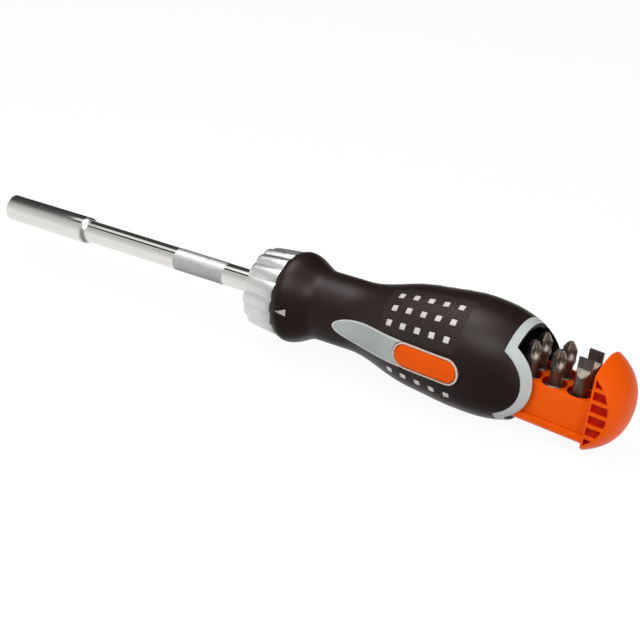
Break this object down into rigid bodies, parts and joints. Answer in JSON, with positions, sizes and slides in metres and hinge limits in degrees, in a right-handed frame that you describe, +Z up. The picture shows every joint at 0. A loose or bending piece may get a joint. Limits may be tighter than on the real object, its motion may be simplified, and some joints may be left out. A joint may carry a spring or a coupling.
{
  "type": "ratchet bit screwdriver",
  "caption": "Ratchet screwdriver for hex bits: socketed chrome shaft, lobed direction collar, soft bulbous grip with a side release button, and a bit magazine that slides out of the rear.",
  "frame": {"origin": "centre of the magnet's front face, on the drive axis, where the rear end of a fitted bit sits", "axes": "+X along the drive axis from the bit towards the handle, +Z up through the stored bits, -Y out through the release button"},
  "size_m": [0.253, 0.0381, 0.038],
  "materials": {
    "chrome": "bright chrome plating",
    "satin_silver": "satin cast metal",
    "steel": "plain machined steel",
    "dark_steel": "dark phosphated steel",
    "brass": "plain turned brass",
    "black_rubber": "satin soft-touch elastomer",
    "black_plastic": "moulded black plastic",
    "grey_plastic": "moulded grey plastic",
    "light_plastic": "moulded light grey plastic",
    "orange_plastic": "moulded orange plastic"
  },
  "bodies": {
    "handle": {"handle_core": "black_plastic", "grip_sleeve": "black_rubber", "rear_trim": "grey_plastic", "side_inlay_left": "grey_plastic", "side_inlay_right": "grey_plastic", "stud_plate_upper_left": "light_plastic", "stud_plate_lower_left": "light_plastic", "stud_plate_upper_right": "light_plastic", "stud_plate_lower_right": "light_plastic", "direction_mark": "light_plastic", "button_spring": "steel", "pawl_carrier": "dark_steel", "pawl_pin": "dark_steel", "detent_ball": "chrome", "detent_spring": "steel"},
    "shaft": {"bit_socket": "chrome", "bit_magnet": "dark_steel", "shaft_rod": "chrome", "ratchet_wheel": "steel", "shaft_circlip": "steel", "thrust_washer": "brass"},
    "collar": {"selector_collar": "satin_silver", "collar_bush": "brass"},
    "pawl": {"rocker_pawl": "steel"},
    "button": {"release_button": "orange_plastic"},
    "magazine": {"magazine_tray": "orange_plastic", "magazine_cap": "orange_plastic", "bit_1": "dark_steel", "bit_2": "dark_steel", "bit_3": "dark_steel", "bit_4": "dark_steel", "bit_5": "dark_steel", "bit_6": "dark_steel"}
  },
  "joints": [
    {"name": "shaft_spin", "type": "hinge", "parent": "handle", "child": "shaft", "pos_m": [0.11, 0, 0], "axis": [1, 0, 0], "continuous": true},
    {"name": "collar_select", "type": "hinge", "parent": "handle", "child": "collar", "pos_m": [0.1107, 0, 0], "axis": [1, 0, 0], "range_deg": [-20, 20]},
    {"name": "pawl_rock", "type": "hinge", "parent": "handle", "child": "pawl", "pos_m": [0.11, 0, 0.009], "axis": [1, 0, 0], "range_deg": [-8, 8]},
    {"name": "magazine_slide", "type": "slide", "parent": "handle", "child": "magazine", "axis": [0.9976, 0, -0.0698], "range_m": [-0.0255, 0]},
    {"name": "button_press", "type": "slide", "parent": "handle", "child": "button", "axis": [0, 1, 0], "range_m": [0, 0.0015], "stiffness_N_per_m": 600, "springref_m": -0.001, "deforming": ["button_spring"]}
  ],
  "couplings": [
    {"joint": "pawl_rock", "follows": "collar_select", "ratio": 0.4}
  ]
}
